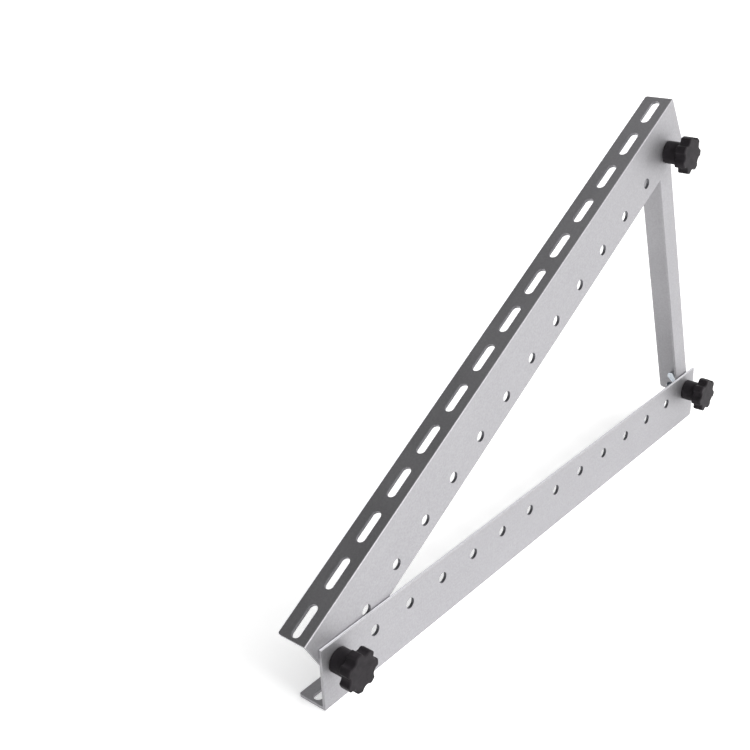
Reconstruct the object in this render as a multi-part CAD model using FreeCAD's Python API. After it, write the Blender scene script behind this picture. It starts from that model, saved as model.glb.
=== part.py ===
import FreeCAD, Part
import math
import os

# Folding tilt bracket for a solar panel: three aluminium angles bolted into a triangle.
# Millimetres. X runs from the front bolt to the rear bolts, Y inwards, towards the twin bracket,
# and Z up. The origin is on the underside of the foot flange, in the middle of its slot line.

# Both rails
sheet = 2.5
corner_outer_radius = 1.0
corner_inner_radius = 1.0
toe_radius = 0.8
web_height = 52.5
flange_width = 26.0
flange_corner_radius = 2.5
base_bolt_line = 35.2
tilt_bolt_line = 37.2
hole_diameter = 9.0
hole_pitch = 40.0
hole_count = 14
slot_length = 27.0
slot_width = 7.5
slot_line_inset = 12.5
base_end_margin = 16.0
base_heel_corner_radius = 4.5
tilt_front_margin = 11.5
tilt_rear_margin = 25.5
tilt_slot_shift = 4.5
tilt_slot_pitch = 40.2

# Rear leg
leg_bolt_distance = 264.5
leg_web_width = 20.0
leg_flange_depth = 30.0
leg_end_margin = 12.0
leg_corner_radius = 4.0
seat_clearance = 0.02

# Screws, washers and wing nuts, for an M6 thread
thread_diameter = 6.0
stud_reach = 20.0
stud_in_knob = 12.0
stud_chamfer = 0.8
stud_fit = 0.02
nut_thread_fit = 0.05
washer_hole_diameter = 6.4
washer_diameter = 12.0
washer_thickness = 1.6
nut_base_diameter = 12.0
nut_top_diameter = 10.0
nut_body_height = 6.0
nut_wing_span = 28.0
nut_wing_height = 13.0
nut_wing_thickness = 2.4
nut_wing_tip_radius = 3.4
nut_wing_foot = 0.8
front_nut_turn = 116.0
rear_nut_turn = 86.0

# Star knobs
knob_diameter = 32.0
knob_hub_diameter = 19.5
knob_hub_length = 14.0
knob_head_height = 9.5
knob_crown = 0.5
knob_lobes = 7
knob_notch_radius = 4.6
knob_notch_depth = 3.0
knob_lobe_fillet = 1.8
knob_edge_fillet = 1.0
knob_face_clearance = 0.05
front_knob_turn = 23.7
rear_knob_turn = 9.3
top_knob_turn = 22.7

# Places that follow from the sizes
bolt_span = hole_pitch * (hole_count - 1)
front_x = -bolt_span / 2
inward_y = -slot_line_inset
tilt_angle = 2 * math.degrees(math.asin(leg_bolt_distance / (2 * bolt_span)))
leg_angle = 90 + tilt_angle / 2
leg_lean = math.degrees(math.asin(sheet / leg_bolt_distance))
widest_lap = web_height - min(base_bolt_line, tilt_bolt_line) + leg_web_width
leg_gap = seat_clearance + math.sin(math.radians(leg_lean)) * widest_lap

X_AXIS = FreeCAD.Vector(1, 0, 0)
Y_AXIS = FreeCAD.Vector(0, 1, 0)
Z_AXIS = FreeCAD.Vector(0, 0, 1)


def point(x, y, z):
    return FreeCAD.Vector(x, y, z)


def line(start, end):
    return Part.LineSegment(start, end).toShape()


def long_edges(bar, y, z):
    """The edges of a bar that run along X at the given y and z."""
    return [edge for edge in bar.Edges
            if all(abs(end.Y - y) + abs(end.Z - z) < 1e-6 for end in edge.Vertexes)]


def corner_waste(corner, inward, upward, axis, radius, depth):
    """What rounding takes off a square corner: a square prism less the round inside it."""
    centre = corner + (inward + upward) * radius
    square = Part.makePolygon([corner, corner + inward * radius, centre, corner + upward * radius, corner])
    prism = Part.Face(square).extrude(axis * depth)
    return prism.cut(Part.makeCylinder(radius, depth, centre, axis))


def angle_bar(length, start, web, flange, bolt_line, flange_corner):
    """An L-shaped bar along X: web in y = 0..sheet, flange underneath, bolt line at z = 0."""
    foot = -bolt_line
    floor = foot + sheet
    top = web - bolt_line
    corners = [(0, foot), (flange, foot), (flange, floor), (sheet, floor), (sheet, top), (0, top), (0, foot)]
    section = Part.Face(Part.makePolygon([point(start, y, z) for y, z in corners]))
    bar = section.extrude(X_AXIS * length)
    bar = bar.makeFillet(corner_outer_radius, long_edges(bar, 0, foot))
    bar = bar.makeFillet(corner_inner_radius, long_edges(bar, sheet, floor))
    for y, z in ((flange, foot), (flange, floor), (sheet, top), (0, top)):
        bar = bar.makeFillet(toe_radius, long_edges(bar, y, z))
    waste = []
    for end, inward in ((start, X_AXIS), (start + length, -X_AXIS)):
        waste.append(corner_waste(point(end, flange, foot), inward, -Y_AXIS, Z_AXIS, flange_corner, sheet))
    return bar.cut(waste)


def cross_hole(x, diameter, low, high):
    """A round hole across the web, on the bolt line."""
    return Part.makeCylinder(diameter / 2, high - low, point(x, low, 0), Y_AXIS)


def flange_slot(x, foot):
    """A slot along X through the flange whose outer face is at z = foot."""
    half_straight = (slot_length - slot_width) / 2
    depth = sheet * 3
    low = foot - sheet
    middle = Part.makeBox(2 * half_straight, slot_width, depth,
                          point(x - half_straight, slot_line_inset - slot_width / 2, low))
    ends = [Part.makeCylinder(slot_width / 2, depth, point(x + side * half_straight, slot_line_inset, low))
            for side in (-1, 1)]
    return middle.fuse(ends).removeSplitter()


def make_rail(front_margin, rear_margin, bolt_line, first_slot, slot_pitch):
    """A punched rail along X with hole 0 at the origin and its flange underneath."""
    length = front_margin + bolt_span + rear_margin
    bar = angle_bar(length, -front_margin, web_height, flange_width, bolt_line, flange_corner_radius)
    cuts = []
    for index in range(hole_count):
        cuts.append(cross_hole(index * hole_pitch, hole_diameter, -sheet, 2 * sheet))
        cuts.append(flange_slot(first_slot + index * slot_pitch, -bolt_line))
    return bar.cut(cuts)


def make_base_rail():
    rail = make_rail(base_end_margin, base_end_margin, base_bolt_line, 0, hole_pitch)
    rear_heel = point(bolt_span + base_end_margin, 0, -base_bolt_line)
    rail = rail.cut(corner_waste(rear_heel, -X_AXIS, Z_AXIS, Y_AXIS, base_heel_corner_radius, flange_width))
    rail.translate(point(front_x, inward_y, base_bolt_line))
    return rail


def make_tilt_rail():
    """The same profile turned over, so that its flange is on top, inside the base rail's web."""
    rail = make_rail(tilt_front_margin, tilt_rear_margin, tilt_bolt_line, tilt_slot_shift, tilt_slot_pitch)
    rail = rail.mirror(point(0, 0, 0), Z_AXIS)
    rail.rotate(point(0, 0, 0), Y_AXIS, -tilt_angle)
    rail.translate(point(front_x, inward_y + sheet, base_bolt_line))
    return rail


def make_rear_leg():
    """An angle whose web leans from the base rail's web over to the tilt rail's web."""
    length = leg_bolt_distance + 2 * leg_end_margin
    bolt_line = leg_web_width / 2
    leg = angle_bar(length, -leg_end_margin, leg_web_width, leg_flange_depth, bolt_line, leg_corner_radius)
    leg.rotate(point(0, 0, 0), Z_AXIS, leg_lean)
    leg.rotate(point(0, 0, 0), Y_AXIS, -leg_angle)
    leg.translate(point(-front_x, inward_y + sheet + leg_gap, base_bolt_line))
    bores = []
    for joint in (rear_joint, top_joint):
        bores.append(Part.makeCylinder(hole_diameter / 2, 6 * sheet,
                                       point(joint["x"], joint["face"] - sheet, joint["z"]), Y_AXIS))
    return leg.cut(bores)


def make_knob():
    """A star knob on the Y axis: its hub's face at y = 0 and its grip towards -Y."""
    head_back = knob_hub_length
    total = knob_hub_length + knob_head_height
    radius = knob_diameter / 2
    head = Part.makeCylinder(radius, knob_head_height, point(0, 0, head_back))
    crown_radius = (radius ** 2 + knob_crown ** 2) / (2 * knob_crown)
    head = head.common(Part.makeSphere(crown_radius, point(0, 0, total - crown_radius)))
    notch_centre = radius - knob_notch_depth + knob_notch_radius
    for index in range(knob_lobes):
        turn = 2 * math.pi * index / knob_lobes
        centre = point(notch_centre * math.cos(turn), notch_centre * math.sin(turn), 0)
        head = head.cut(Part.makeCylinder(knob_notch_radius, 2 * total, centre))
    uprights = []
    for edge in head.Edges:
        ends = [vertex.Point for vertex in edge.Vertexes]
        if len(ends) == 2 and abs(ends[0].x - ends[1].x) + abs(ends[0].y - ends[1].y) < 1e-6:
            uprights.append(edge)
    head = head.makeFillet(knob_lobe_fillet, uprights)
    rims = [edge for edge in head.Edges
            if min(v.Z for v in edge.Vertexes) > total - 2 * knob_crown or
            max(v.Z for v in edge.Vertexes) < head_back + 1e-6]
    head = head.makeFillet(knob_edge_fillet, rims)
    hub = Part.makeCylinder(knob_hub_diameter / 2, knob_hub_length)
    knob = hub.fuse(head).removeSplitter()
    socket = Part.makeCylinder(thread_diameter / 2 + stud_fit, stud_in_knob + stud_fit)
    knob = knob.cut(socket)
    knob.rotate(point(0, 0, 0), X_AXIS, 90)
    return knob


def make_stud():
    """The knob's threaded stud, from its end inside the knob to its free end at y = stud_reach."""
    length = stud_in_knob + stud_reach
    stud = Part.makeCylinder(thread_diameter / 2, length, point(0, -stud_in_knob, 0), Y_AXIS)
    ends = [edge for edge in stud.Edges if all(v.Y > stud_reach - 1e-6 for v in edge.Vertexes)]
    return stud.makeChamfer(stud_chamfer, ends)


def make_washer():
    disc = Part.makeCylinder(washer_diameter / 2, washer_thickness, point(0, 0, 0), Y_AXIS)
    hole = Part.makeCylinder(washer_hole_diameter / 2, washer_thickness, point(0, 0, 0), Y_AXIS)
    return disc.cut(hole)


def tangent_point(x, y, centre_x, centre_y, radius, side):
    """Where a line from (x, y) touches a circle, on the given side of it."""
    away = math.atan2(y - centre_y, x - centre_x)
    opening = math.acos(radius / math.hypot(x - centre_x, y - centre_y))
    turn = away + side * opening
    return point(centre_x + radius * math.cos(turn), centre_y + radius * math.sin(turn), 0)


def make_wing_nut():
    """A wing nut on the Y axis with its base at y = 0 and its wings along X."""
    body = Part.makeCone(nut_base_diameter / 2, nut_top_diameter / 2, nut_body_height,
                         point(0, 0, 0), Y_AXIS)
    root = thread_diameter / 2 + nut_thread_fit
    tip_x = nut_wing_span / 2 - nut_wing_tip_radius
    tip_y = nut_wing_height - nut_wing_tip_radius
    low_root = point(root, nut_wing_foot, 0)
    high_root = point(root, nut_body_height, 0)
    low = tangent_point(root, nut_wing_foot, tip_x, tip_y, nut_wing_tip_radius, 1)
    high = tangent_point(root, nut_body_height, tip_x, tip_y, nut_wing_tip_radius, -1)
    lean = math.atan2(tip_y - nut_body_height / 2, tip_x - root)
    far = point(tip_x, tip_y, 0) + point(math.cos(lean), math.sin(lean), 0) * nut_wing_tip_radius
    outline = [line(low_root, low), Part.Arc(low, far, high).toShape(), line(high, high_root),
               line(high_root, low_root)]
    wing = Part.Face(Part.Wire(Part.__sortEdges__(outline))).extrude(Z_AXIS * nut_wing_thickness)
    wing.translate(Z_AXIS * (-nut_wing_thickness / 2))
    twin = wing.mirror(point(0, 0, 0), X_AXIS)
    nut = body.fuse([wing, twin]).removeSplitter()
    bore = Part.makeCylinder(root, 2 * nut_wing_height, point(0, -nut_wing_height / 2, 0), Y_AXIS)
    return nut.cut(bore)


# Each joint: its bolt axis, the outer face that its knob bears on, the thickness that it clamps,
# the direction of its nut's wings and that of one notch of its knob.
rear_joint = {
    "x": -front_x,
    "z": base_bolt_line,
    "face": inward_y,
    "grip": 2 * sheet + 2 * leg_gap,
    "nut_turn": rear_nut_turn,
    "knob_turn": rear_knob_turn,
}
top_joint = {
    "x": front_x + bolt_span * math.cos(math.radians(tilt_angle)),
    "z": base_bolt_line + bolt_span * math.sin(math.radians(tilt_angle)),
    "face": inward_y + sheet,
    "grip": 2 * sheet + 2 * leg_gap,
    "nut_turn": leg_angle,
    "knob_turn": top_knob_turn,
}
front_joint = {
    "x": front_x,
    "z": base_bolt_line,
    "face": inward_y,
    "grip": 2 * sheet,
    "nut_turn": front_nut_turn,
    "knob_turn": front_knob_turn,
}


def place(shape, joint, depth, turn=0):
    shape.rotate(point(0, 0, 0), Y_AXIS, -turn)
    shape.translate(point(joint["x"], joint["face"] + depth, joint["z"]))
    return shape


def fastening(name, joint):
    """A joint's knob, stud, washer and wing nut."""
    washer_seat = joint["grip"]
    nut_seat = washer_seat + washer_thickness
    return {
        name + "_knob": place(make_knob(), joint, -knob_face_clearance, joint["knob_turn"]),
        name + "_stud": place(make_stud(), joint, -knob_face_clearance),
        name + "_washer": place(make_washer(), joint, washer_seat),
        name + "_wing_nut": place(make_wing_nut(), joint, nut_seat, joint["nut_turn"]),
    }


pieces = {
    "base_rail": make_base_rail(),
    "tilt_rail": make_tilt_rail(),
    "rear_leg": make_rear_leg(),
}
pieces.update(fastening("front", front_joint))
pieces.update(fastening("rear", rear_joint))
pieces.update(fastening("top", top_joint))

os.makedirs("parts", exist_ok=True)
for node, shape in pieces.items():
    shape.exportStep("parts/" + node + ".step")
    print(node, len(shape.Solids), shape.isValid(), round(shape.Volume, 1))
print("tilt", round(tilt_angle, 3), "lean", round(leg_lean, 3))
for joint in (front_joint, rear_joint, top_joint):
    print("bolt", round(joint["x"], 3), round(joint["face"], 3), round(joint["z"], 3))
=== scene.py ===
import math

import bmesh
import bpy
from mathutils import Matrix, Vector


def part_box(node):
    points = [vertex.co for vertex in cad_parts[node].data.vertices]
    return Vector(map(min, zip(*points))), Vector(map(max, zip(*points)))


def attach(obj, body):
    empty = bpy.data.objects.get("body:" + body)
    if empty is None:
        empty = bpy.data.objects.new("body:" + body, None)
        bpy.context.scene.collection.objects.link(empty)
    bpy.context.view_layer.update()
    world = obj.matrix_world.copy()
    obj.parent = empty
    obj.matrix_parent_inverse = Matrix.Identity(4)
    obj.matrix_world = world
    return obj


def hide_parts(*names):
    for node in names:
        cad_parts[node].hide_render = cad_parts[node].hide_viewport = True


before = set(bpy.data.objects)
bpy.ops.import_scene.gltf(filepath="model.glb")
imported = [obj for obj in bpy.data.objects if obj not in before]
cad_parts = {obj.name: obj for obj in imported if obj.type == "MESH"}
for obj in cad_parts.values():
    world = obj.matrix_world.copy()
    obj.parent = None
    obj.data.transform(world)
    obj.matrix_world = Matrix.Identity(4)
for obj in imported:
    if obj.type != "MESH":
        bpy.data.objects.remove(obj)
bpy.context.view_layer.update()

MM = 0.001
JOINTS = ("front", "rear", "top")
RAILS = ("base_rail", "tilt_rail", "rear_leg")

# How far each bar's length is turned round Y
SLOPES = {"base_rail": 0.0, "tilt_rail": math.radians(29.467), "rear_leg": math.radians(104.73)}

# The angles' sheet, with broken edges, and the largest facet of a round hole's wall
SHEET = 2.5 * MM
HOLE_FACET = 3 * MM * MM
RAIL_EDGE = 0.3 * MM
WASHER_EDGE = 0.2 * MM
EDGE_SEGMENTS = 2

# Copies of the CAD meshes: points closer than MERGE are one, edges flatter than FLAT are dissolved and
# edges sharper than SHARP are broken. Measures that differ by less than LEVEL count as the same
MERGE = 0.001 * MM
FLAT = math.radians(0.5)
SHARP = math.radians(30)
LEVEL = 0.01 * MM

# Places of a bar's further materials in its list
WALL_SHADE_SLOT = 1
EDGE_HIGHLIGHT_SLOT = 2

# Shading is smooth over edges below these angles in degrees
BAR_SMOOTH = 20
KNOB_SMOOTH = 28
WASHER_SMOOTH = 40
STUD_SMOOTH = 50
NUT_SMOOTH = 180

# Star knob, moulded in one piece with its hub
KNOB_RADIUS = 16.0 * MM
KNOB_LOBES = 7
HUB_RADIUS = 9.75 * MM
HUB_LENGTH = 14.0 * MM
HEAD_HEIGHT = 9.5 * MM
NOTCH_RADIUS = 4.6 * MM
NOTCH_DEPTH = 3.0 * MM
LOBE_ROUND = 1.8 * MM
RIM_ROUND = 1.1 * MM
RIM_SEGMENTS = 4
HUB_ROUND = 0.5 * MM
HUB_STEPS = 64
HUB_MERGE = 0.0005 * MM
ARC_STEPS = 8
KNOB_TURNS = {"front": 23.7, "rear": 9.3, "top": 22.7}

# M6 thread
THREAD_RADIUS = 3.0 * MM
THREAD_PITCH = 1.0 * MM
THREAD_DEPTH = 0.55 * MM
THREAD_STEPS = 40
TIP_CHAMFER = 0.8 * MM

# Cast skin of the wing nuts
NUT_VOXEL = 0.25 * MM
NUT_SOFTENING = 6

# Camera: its turn, drop and roll in degrees, its place in metres and its lens in millimetres
CAMERA_TURN = -48.37
CAMERA_DROP = 25.32
CAMERA_ROLL = -2.89
CAMERA_PLACE = (-0.7123, -0.4621, 0.5534)
LENS = 55.03
SENSOR = 36.0

# Studio: a wide floor just under the foot, and air that brightens towards the lit side
FLOOR_REACH = 60.0
FLOOR_DROP = 0.3 * MM
FLOOR_GLOW = 0.44
LIT_SIDE = (0.5, -0.8, -0.1)
DIM_FROM = -0.68
BRIGHT_FROM = 0.72
DIM_AIR = 0.03
BRIGHT_AIR = 1.3
WINDOW_SIDE = (0.75, -0.5, 0.6)
WINDOW_STRENGTH = 0.8
WINDOW_SPREAD = 60


def srgb(code):
    """The linear colour of an sRGB hex code."""
    values = [int(code[i:i + 2], 16) / 255 for i in (1, 3, 5)]
    linear = [v / 12.92 if v <= 0.04045 else ((v + 0.055) / 1.055) ** 2.4 for v in values]
    return (*linear, 1.0)


def add_node(tree, kind, settings=None, inputs=None):
    """Adds a node. An input takes a value, or the output socket that feeds it."""
    node = tree.nodes.new(kind)
    for name, value in (settings or {}).items():
        setattr(node, name, value)
    for name, value in (inputs or {}).items():
        if isinstance(value, bpy.types.NodeSocket):
            tree.links.new(value, node.inputs[name])
        else:
            node.inputs[name].default_value = value
    return node


def new_material(name):
    material = bpy.data.materials.new(name)
    material.use_nodes = True
    material.node_tree.nodes.clear()
    return material, material.node_tree


def two_tones(tree, pattern, dark_at, dark, light_at, light):
    """A ramp between two colours, driven by a pattern."""
    ramp = add_node(tree, "ShaderNodeValToRGB", inputs={"Fac": pattern})
    ramp.color_ramp.elements[0].position = dark_at
    ramp.color_ramp.elements[0].color = srgb(dark)
    ramp.color_ramp.elements[1].position = light_at
    ramp.color_ramp.elements[1].color = srgb(light)
    return ramp.outputs["Color"]


def anodised_aluminium(name, slope):
    """Extruded, etched and clear anodised: a satin grey with a fine mottle from the etching and
    faint die lines along the bar, a little duller where the film is thicker."""
    material, tree = new_material(name)
    place = add_node(tree, "ShaderNodeTexCoord").outputs["Object"]
    along = add_node(tree, "ShaderNodeMapping", inputs={"Vector": place, "Rotation": (0, slope, 0)})
    # the etch grain is near 0.3 mm, drawn at 1.6 mm so that it shows
    mottle = add_node(tree, "ShaderNodeTexNoise", inputs={
        "Vector": place, "Scale": 1 / (1.6 * MM), "Detail": 3.0, "Roughness": 0.6})
    cloud = add_node(tree, "ShaderNodeTexNoise", inputs={
        "Vector": place, "Scale": 1 / (45 * MM), "Detail": 2.0})
    squash = add_node(tree, "ShaderNodeMapping", inputs={
        "Vector": along.outputs["Vector"], "Scale": (0.012, 1.0, 1.0)})
    # die lines are near 0.1 mm wide, drawn at 0.8 mm
    lines = add_node(tree, "ShaderNodeTexNoise", inputs={
        "Vector": squash.outputs["Vector"], "Scale": 1 / (0.8 * MM), "Detail": 2.0})
    tone = two_tones(tree, mottle.outputs["Fac"], 0.3, "#A4A3A6", 0.7, "#B0AFB2")
    streak = add_node(tree, "ShaderNodeMapRange", inputs={
        "Value": lines.outputs["Fac"], "From Min": 0.35, "From Max": 0.65, "To Min": 0.975, "To Max": 1.0})
    colour = add_node(tree, "ShaderNodeMix", {"data_type": "RGBA", "blend_type": "MULTIPLY"}, {
        0: 1.0, 6: tone, 7: streak.outputs["Result"]})
    rough = add_node(tree, "ShaderNodeMapRange", inputs={
        "Value": cloud.outputs["Fac"], "From Min": 0.3, "From Max": 0.7, "To Min": 0.52, "To Max": 0.58})
    relief = add_node(tree, "ShaderNodeBump", inputs={
        "Height": mottle.outputs["Fac"], "Strength": 0.12, "Distance": 0.1 * MM})
    shader = add_node(tree, "ShaderNodeBsdfPrincipled", inputs={
        "Base Color": colour.outputs[2], "Metallic": 1.0, "Roughness": rough.outputs["Result"],
        "Normal": relief.outputs["Normal"]})
    add_node(tree, "ShaderNodeOutputMaterial", inputs={"Surface": shader.outputs["BSDF"]})
    return material


def punched_wall_painted_shade():
    """The wall of a punched hole: sheared and torn, and coloured darker than the sheet's face as
    painted shade, so that it shows as a dark crescent."""
    material, tree = new_material("punched hole wall with painted shade")
    place = add_node(tree, "ShaderNodeTexCoord").outputs["Object"]
    tearing = add_node(tree, "ShaderNodeTexNoise", inputs={
        "Vector": place, "Scale": 1 / (0.9 * MM), "Detail": 3.0, "Roughness": 0.7})
    # dark tone: painted shade inside the hole
    tone = two_tones(tree, tearing.outputs["Fac"], 0.3, "#5E5E62", 0.75, "#95959A")
    relief = add_node(tree, "ShaderNodeBump", inputs={
        "Height": tearing.outputs["Fac"], "Strength": 0.4, "Distance": 0.1 * MM})
    shader = add_node(tree, "ShaderNodeBsdfPrincipled", inputs={
        "Base Color": tone, "Metallic": 1.0, "Roughness": 0.6,
        "Normal": relief.outputs["Normal"]})
    add_node(tree, "ShaderNodeOutputMaterial", inputs={"Surface": shader.outputs["BSDF"]})
    return material


def painted_highlight_edge():
    """The sheet's long cut edge, coloured pale and partly diffuse: a painted highlight that shows as a
    pale line.
    """
    material, tree = new_material("aluminium edge with painted highlight")
    place = add_node(tree, "ShaderNodeTexCoord").outputs["Object"]
    pits = add_node(tree, "ShaderNodeTexNoise", inputs={
        "Vector": place, "Scale": 1 / (0.7 * MM), "Detail": 3.0, "Roughness": 0.6})
    # pale tone: a painted highlight along the bar's top edge
    tone = two_tones(tree, pits.outputs["Fac"], 0.3, "#D6D6DA", 0.7, "#E6E6EA")
    relief = add_node(tree, "ShaderNodeBump", inputs={
        "Height": pits.outputs["Fac"], "Strength": 0.3, "Distance": 0.08 * MM})
    shader = add_node(tree, "ShaderNodeBsdfPrincipled", inputs={
        "Base Color": tone, "Metallic": 0.2, "Roughness": 0.7,
        "Normal": relief.outputs["Normal"]})
    add_node(tree, "ShaderNodeOutputMaterial", inputs={"Surface": shader.outputs["BSDF"]})
    return material


def zinc_plated_steel():
    """Bright zinc with a clear passivation: bluish white and shiny, with soft uneven patches."""
    material, tree = new_material("zinc plated steel")
    place = add_node(tree, "ShaderNodeTexCoord").outputs["Object"]
    patches = add_node(tree, "ShaderNodeTexNoise", inputs={
        "Vector": place, "Scale": 1 / (3.5 * MM), "Detail": 3.0})
    grain = add_node(tree, "ShaderNodeTexNoise", inputs={
        "Vector": place, "Scale": 1 / (0.6 * MM), "Detail": 2.0})
    tone = two_tones(tree, patches.outputs["Fac"], 0.35, "#B4BCC5", 0.7, "#DADFE3")
    rough = add_node(tree, "ShaderNodeMapRange", inputs={
        "Value": patches.outputs["Fac"], "From Min": 0.3, "From Max": 0.7, "To Min": 0.16, "To Max": 0.3})
    relief = add_node(tree, "ShaderNodeBump", inputs={
        "Height": grain.outputs["Fac"], "Strength": 0.15, "Distance": 0.05 * MM})
    shader = add_node(tree, "ShaderNodeBsdfPrincipled", inputs={
        "Base Color": tone, "Metallic": 1.0, "Roughness": rough.outputs["Result"],
        "Normal": relief.outputs["Normal"]})
    add_node(tree, "ShaderNodeOutputMaterial", inputs={"Surface": shader.outputs["BSDF"]})
    return material


def moulded_nylon():
    """Glass-filled nylon from a spark-eroded mould: near black, satin, with a fine leathery grain."""
    material, tree = new_material("moulded black nylon")
    place = add_node(tree, "ShaderNodeTexCoord").outputs["Object"]
    # the mould's grain is near 0.15 mm, drawn at 0.5 mm
    grain = add_node(tree, "ShaderNodeTexNoise", inputs={
        "Vector": place, "Scale": 1 / (0.5 * MM), "Detail": 3.0, "Roughness": 0.6})
    flow = add_node(tree, "ShaderNodeTexNoise", inputs={
        "Vector": place, "Scale": 1 / (6 * MM), "Detail": 2.0})
    tone = two_tones(tree, flow.outputs["Fac"], 0.3, "#232123", 0.7, "#2E2B2E")
    rough = add_node(tree, "ShaderNodeMapRange", inputs={
        "Value": grain.outputs["Fac"], "From Min": 0.3, "From Max": 0.7, "To Min": 0.34, "To Max": 0.54})
    relief = add_node(tree, "ShaderNodeBump", inputs={
        "Height": grain.outputs["Fac"], "Strength": 0.5, "Distance": 0.08 * MM})
    shader = add_node(tree, "ShaderNodeBsdfPrincipled", inputs={
        "Base Color": tone, "Roughness": rough.outputs["Result"], "IOR": 1.53,
        "Specular IOR Level": 0.05, "Normal": relief.outputs["Normal"]})
    add_node(tree, "ShaderNodeOutputMaterial", inputs={"Surface": shader.outputs["BSDF"]})
    return material


def add_piece(name, bm, body, material, stands_for, smooth_below, flat_faces=False):
    """Makes the bmesh an object that rides on a body in place of a node of the frame. Its flat faces
    can keep their own shading up to the rounds beside them."""
    mesh = bpy.data.meshes.new(name)
    bm.to_mesh(mesh)
    bm.free()
    mesh.polygons.foreach_set("use_smooth", [True] * len(mesh.polygons))
    mesh.set_sharp_from_angle(angle=math.radians(smooth_below))
    mesh.materials.append(material)
    piece = bpy.data.objects.new(name, mesh)
    bpy.context.scene.collection.objects.link(piece)
    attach(piece, body)
    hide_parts(stands_for)
    if flat_faces:
        piece.modifiers.new("flat faces", "WEIGHTED_NORMAL").keep_sharp = True
    return piece


def cad_copy(node):
    """A merged copy of a node's mesh, with its flat faces whole."""
    bm = bmesh.new()
    bm.from_mesh(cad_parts[node].data)
    bmesh.ops.remove_doubles(bm, verts=bm.verts, dist=MERGE)
    bmesh.ops.dissolve_limit(bm, angle_limit=FLAT, verts=bm.verts, edges=bm.edges)
    return bm


def break_edges(bm, size):
    """Rounds every sharp edge."""
    sharp = [e for e in bm.edges if e.is_manifold and e.calc_face_angle() > SHARP]
    bmesh.ops.bevel(bm, geom=sharp, offset=size, offset_type="OFFSET", segments=EDGE_SEGMENTS, profile=0.5,
                    affect="EDGES", clamp_overlap=True, material=-1)


def bolt_place(joint):
    """The matrix from a screw's own axes, Z out along its axis to the knob's side, to its place."""
    low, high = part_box(joint + "_stud")
    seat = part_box(joint + "_knob")[1].y
    turned = Matrix(((1, 0, 0), (0, 0, -1), (0, 1, 0))).to_4x4()
    return Matrix.Translation(((low.x + high.x) / 2, seat, (low.z + high.z) / 2)) @ turned


def sweep_point(bm, start, centre, angle, steps):
    """Draws an arc by turning a point round a centre."""
    vert = bm.verts.new(start)
    bmesh.ops.spin(bm, geom=[vert], cent=centre, axis=(0, 0, 1), dvec=(0, 0, 0), angle=angle,
                   steps=steps, use_duplicate=False)


def star_outline(bm):
    """The head's outline: lobe arcs on the full radius, hollow notches, and rounds between them."""
    notch_at = KNOB_RADIUS - NOTCH_DEPTH + NOTCH_RADIUS
    round_at = KNOB_RADIUS - LOBE_ROUND
    reach = NOTCH_RADIUS + LOBE_ROUND
    lean = math.acos((round_at ** 2 + notch_at ** 2 - reach ** 2) / (2 * round_at * notch_at))
    notch_centre = Vector((notch_at, 0, 0))
    round_centre = Vector((round_at * math.cos(lean), round_at * math.sin(lean), 0))
    touch = notch_centre + (round_centre - notch_centre) * (NOTCH_RADIUS / reach)
    crest = round_centre.normalized() * KNOB_RADIUS
    notch_bottom = Vector((notch_at - NOTCH_RADIUS, 0, 0))
    notch_turn = (touch - notch_centre).angle(notch_bottom - notch_centre)
    round_turn = (crest - round_centre).angle(touch - round_centre)
    half_lobe = math.pi / KNOB_LOBES
    sweep_point(bm, notch_bottom, notch_centre, -notch_turn, ARC_STEPS)
    sweep_point(bm, touch, round_centre, round_turn, ARC_STEPS)
    sweep_point(bm, crest, Vector((0, 0, 0)), half_lobe - lean, ARC_STEPS)
    half = bm.verts[:] + bm.edges[:]
    bmesh.ops.mirror(bm, geom=half, matrix=Matrix.Identity(4), axis="Y", merge_dist=0.0)
    bmesh.ops.remove_doubles(bm, verts=bm.verts, dist=MERGE)
    bmesh.ops.spin(bm, geom=bm.verts[:] + bm.edges[:], cent=(0, 0, 0), axis=(0, 0, 1), dvec=(0, 0, 0),
                   angle=2 * math.pi, steps=KNOB_LOBES, use_duplicate=True)
    bmesh.ops.remove_doubles(bm, verts=bm.verts, dist=MERGE)


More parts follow.
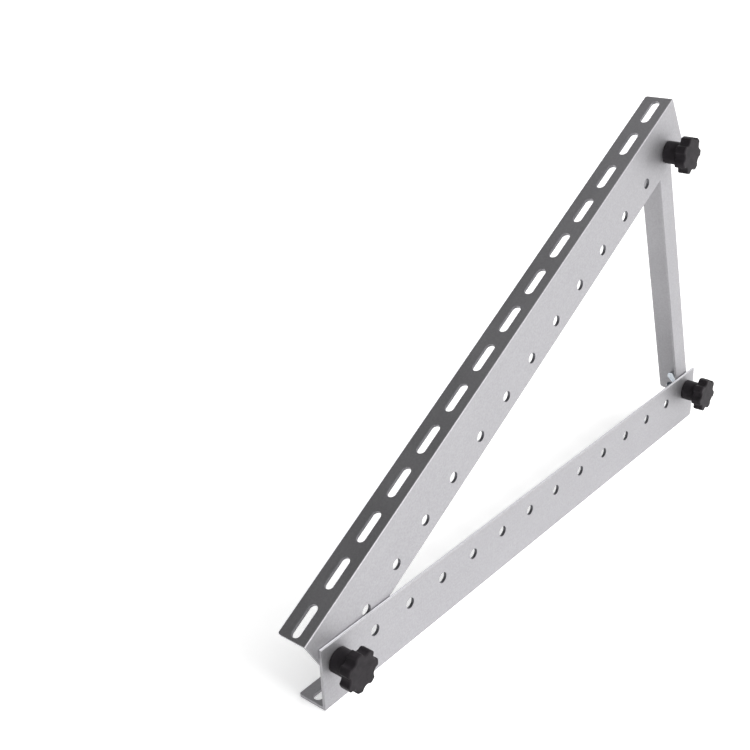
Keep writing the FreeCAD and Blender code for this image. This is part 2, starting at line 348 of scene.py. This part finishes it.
def star_knob(joint, material):
    """The lobed head, with rounded rims, and the hub that stands on the rail."""
    bm = bmesh.new()
    star_outline(bm)
    base = bmesh.ops.edgeloop_fill(bm, edges=bm.edges)["faces"]
    bmesh.ops.translate(bm, verts=bm.verts, vec=(0, 0, HUB_LENGTH))
    top = bmesh.ops.extrude_face_region(bm, geom=base, use_keep_orig=True)["geom"]
    top_verts = [v for v in top if isinstance(v, bmesh.types.BMVert)]
    bmesh.ops.translate(bm, verts=top_verts, vec=(0, 0, HEAD_HEIGHT))
    bmesh.ops.recalc_face_normals(bm, faces=bm.faces)
    rims = [e for e in bm.edges if abs(e.verts[0].co.z - e.verts[1].co.z) < 1e-6]
    bmesh.ops.bevel(bm, geom=rims, offset=RIM_ROUND, offset_type="OFFSET", segments=RIM_SEGMENTS,
                    profile=0.5, affect="EDGES", clamp_overlap=False, material=-1)
    # the hub, up into the head
    root = HUB_RADIUS + HUB_ROUND
    inside = HUB_LENGTH + 2 * HUB_ROUND
    outline = [(0, 0), (HUB_RADIUS - HUB_ROUND, 0), (HUB_RADIUS, HUB_ROUND),
               (HUB_RADIUS, HUB_LENGTH - HUB_ROUND), (root, HUB_LENGTH), (root, inside), (0, inside)]
    verts = [bm.verts.new((r, 0, z)) for r, z in outline]
    edges = [bm.edges.new(pair) for pair in zip(verts, verts[1:])]
    bmesh.ops.spin(bm, geom=verts + edges, cent=(0, 0, 0), axis=(0, 0, 1), dvec=(0, 0, 0),
                   angle=2 * math.pi, steps=HUB_STEPS, use_merge=True, use_duplicate=False)
    bmesh.ops.remove_doubles(bm, verts=bm.verts, dist=HUB_MERGE)
    bmesh.ops.recalc_face_normals(bm, faces=bm.faces)
    turn = Matrix.Rotation(math.radians(KNOB_TURNS[joint]), 4, "Z")
    bmesh.ops.transform(bm, matrix=bolt_place(joint) @ turn, verts=bm.verts)
    add_piece(joint + "_star_knob", bm, joint + "_screw", material, joint + "_knob",
              KNOB_SMOOTH, flat_faces=True)


def threaded_stud(joint, material):
    """The thread is one zigzag, as long as the stud, turned once round while it moves by one pitch."""
    low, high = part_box(joint + "_stud")
    place = bolt_place(joint)
    inner = place.inverted() @ Vector((0, high.y, 0))
    end = inner.z
    start = high.y - low.y + end
    bm = bmesh.new()
    count = int((start - end) / THREAD_PITCH) + 3
    verts = []
    for k in range(2 * count):
        radius = THREAD_RADIUS - (k % 2) * THREAD_DEPTH
        verts.append(bm.verts.new((radius, 0, end - 2 * THREAD_PITCH + k * THREAD_PITCH / 2)))
    edges = [bm.edges.new(pair) for pair in zip(verts, verts[1:])]
    bmesh.ops.spin(bm, geom=verts + edges, cent=(0, 0, 0), axis=(0, 0, 1), angle=2 * math.pi,
                   dvec=(0, 0, THREAD_PITCH / THREAD_STEPS), steps=THREAD_STEPS, use_duplicate=False)
    bmesh.ops.remove_doubles(bm, verts=bm.verts, dist=MERGE)
    for level, side in ((end, -1), (start, 1)):
        bmesh.ops.bisect_plane(bm, geom=bm.verts[:] + bm.edges[:] + bm.faces[:], plane_co=(0, 0, level),
                               plane_no=(0, 0, side), clear_outer=True)
        rim = [e for e in bm.edges if e.is_boundary and all(abs(v.co.z - level) < 1e-7 for v in e.verts)]
        bmesh.ops.edgeloop_fill(bm, edges=rim)
    for vert in bm.verts:
        limit = THREAD_RADIUS - TIP_CHAMFER + (vert.co.z - end)
        radius = math.hypot(vert.co.x, vert.co.y)
        if radius > limit:
            vert.co.x *= limit / radius
            vert.co.y *= limit / radius
    bmesh.ops.recalc_face_normals(bm, faces=bm.faces)
    bmesh.ops.transform(bm, matrix=place, verts=bm.verts)
    add_piece(joint + "_threaded_stud", bm, joint + "_screw", material,
              joint + "_stud", STUD_SMOOTH)


def dressed_bar(node, material, wall_shade_material, edge_highlight_material):
    """An angle as cut, with its edges broken. The walls of its web's holes are the narrow quads that
    span the sheet along Y, and carry painted shade. Its level top edge, where it has one, carries a
    painted highlight."""
    bm = cad_copy(node)
    top = max(v.co.z for v in bm.verts)
    for face in bm.faces:
        depth = max(v.co.y for v in face.verts) - min(v.co.y for v in face.verts)
        # the walls of the web's holes take the dark material: painted shade
        if len(face.verts) == 4 and abs(depth - SHEET) < LEVEL and face.calc_area() < HOLE_FACET:
            face.material_index = WALL_SHADE_SLOT
        # the level top edge takes the pale material: a painted highlight
        elif all(top - v.co.z < LEVEL for v in face.verts):
            face.material_index = EDGE_HIGHLIGHT_SLOT
    break_edges(bm, RAIL_EDGE)
    bar = add_piece(node + "_bar", bm, "frame", material, node,
                    BAR_SMOOTH, flat_faces=True)
    bar.data.materials.append(wall_shade_material)
    bar.data.materials.append(edge_highlight_material)


def flat_washer(joint, material):
    bm = cad_copy(joint + "_washer")
    break_edges(bm, WASHER_EDGE)
    add_piece(joint + "_flat_washer", bm, "frame", material, joint + "_washer",
              WASHER_SMOOTH, flat_faces=True)


def cast_wing_nut(joint, material):
    """Die cast: a fine remesh melts the wings into the body and rounds every edge."""
    bm = cad_copy(joint + "_wing_nut")
    piece = add_piece(joint + "_cast_wing_nut", bm, "frame", material,
                      joint + "_wing_nut", NUT_SMOOTH)
    remesh = piece.modifiers.new("cast skin", "REMESH")
    remesh.mode = "VOXEL"
    remesh.voxel_size = NUT_VOXEL
    remesh.use_smooth_shade = True
    soften = piece.modifiers.new("soft edges", "SMOOTH")
    soften.iterations = NUT_SOFTENING


def lit_from(name, place, target, size, power):
    """A square soft box that points at a target."""
    light = bpy.data.lights.new(name, "AREA")
    light.shape = "SQUARE"
    light.size = size
    light.energy = power
    lamp = bpy.data.objects.new(name, light)
    lamp.location = place
    lamp.rotation_euler = (Vector(target) - Vector(place)).to_track_quat("-Z", "Y").to_euler()
    bpy.context.scene.collection.objects.link(lamp)


def soft_sun(towards, strength, spread):
    """An even, far light, as wide as a large window, that whitens the floor to its edges."""
    light = bpy.data.lights.new("window_light", "SUN")
    light.energy = strength
    light.angle = math.radians(spread)
    lamp = bpy.data.objects.new("window_light", light)
    lamp.rotation_euler = Vector(towards).to_track_quat("Z", "Y").to_euler()
    bpy.context.scene.collection.objects.link(lamp)


def studio_floor():
    """A white light table: it glows evenly from below, so shadows on it stay faint."""
    material, tree = new_material("white light table")
    shader = add_node(tree, "ShaderNodeBsdfPrincipled", inputs={
        "Base Color": srgb("#FAFAFA"), "Roughness": 0.9,
        "Emission Color": srgb("#FFFFFF"), "Emission Strength": FLOOR_GLOW})
    add_node(tree, "ShaderNodeOutputMaterial", inputs={"Surface": shader.outputs["BSDF"]})
    bm = bmesh.new()
    bmesh.ops.create_grid(bm, x_segments=1, y_segments=1, size=FLOOR_REACH)
    mesh = bpy.data.meshes.new("studio_floor")
    bm.to_mesh(mesh)
    bm.free()
    mesh.materials.append(material)
    floor = bpy.data.objects.new("studio_floor", mesh)
    floor.location = (0, 0, -FLOOR_DROP)
    bpy.context.scene.collection.objects.link(floor)


def studio_air():
    """A dim studio with one whole wall as a soft light: the side that the knobs face."""
    world = bpy.data.worlds.new("studio_air")
    bpy.context.scene.world = world
    world.use_nodes = True
    tree = world.node_tree
    look = add_node(tree, "ShaderNodeTexCoord").outputs["Generated"]
    side = add_node(tree, "ShaderNodeVectorMath", {"operation": "DOT_PRODUCT"}, {
        0: look, 1: LIT_SIDE})
    glow = add_node(tree, "ShaderNodeMapRange", {"interpolation_type": "SMOOTHSTEP"}, {
        "Value": side.outputs["Value"], "From Min": DIM_FROM, "From Max": BRIGHT_FROM,
        "To Min": DIM_AIR, "To Max": BRIGHT_AIR})
    tree.links.new(glow.outputs["Result"], tree.nodes["Background"].inputs["Strength"])
    tree.nodes["Background"].inputs["Color"].default_value = srgb("#FFFFFF")


def photo_camera():
    """The camera at the photograph's place."""
    azimuth, drop, roll = (math.radians(v) for v in (CAMERA_TURN, CAMERA_DROP, CAMERA_ROLL))
    ahead = Vector((-math.sin(azimuth), math.cos(azimuth), 0))
    forward = ahead * math.cos(drop) - Vector((0, 0, math.sin(drop)))
    level = Vector((math.cos(azimuth), math.sin(azimuth), 0))
    upright = level.cross(forward)
    right = level * math.cos(roll) + upright * math.sin(roll)
    up = upright * math.cos(roll) - level * math.sin(roll)
    data = bpy.data.cameras.new("photo_camera")
    data.sensor_width = SENSOR
    data.lens = LENS
    camera = bpy.data.objects.new("photo_camera", data)
    camera.matrix_world = Matrix.Translation(CAMERA_PLACE) @ Matrix(
        (right, up, -forward)).transposed().to_4x4()
    bpy.context.scene.collection.objects.link(camera)
    bpy.context.scene.camera = camera


nylon = moulded_nylon()
zinc = zinc_plated_steel()
# the dark hole wall material is painted shade
painted_wall_shade = punched_wall_painted_shade()
# the pale edge material is a painted highlight
edge = painted_highlight_edge()
for node in RAILS:
    skin = anodised_aluminium("anodised aluminium " + node.replace("_", " "), SLOPES[node])
    dressed_bar(node, skin, painted_wall_shade, edge)
for joint in JOINTS:
    star_knob(joint, nylon)
    threaded_stud(joint, zinc)
    flat_washer(joint, zinc)
    cast_wing_nut(joint, zinc)

studio_floor()
photo_camera()
soft_sun(WINDOW_SIDE, WINDOW_STRENGTH, WINDOW_SPREAD)
lit_from("front_soft_box", (-0.2, -1.75, 1.05), (0, 0, 0.1), 0.7, 20)
lit_from("right_soft_box", (2.0, 0.85, 1.0), (0, 0, 0.05), 1.2, 7)
studio_air()
bpy.context.scene.view_settings.view_transform = "Standard"
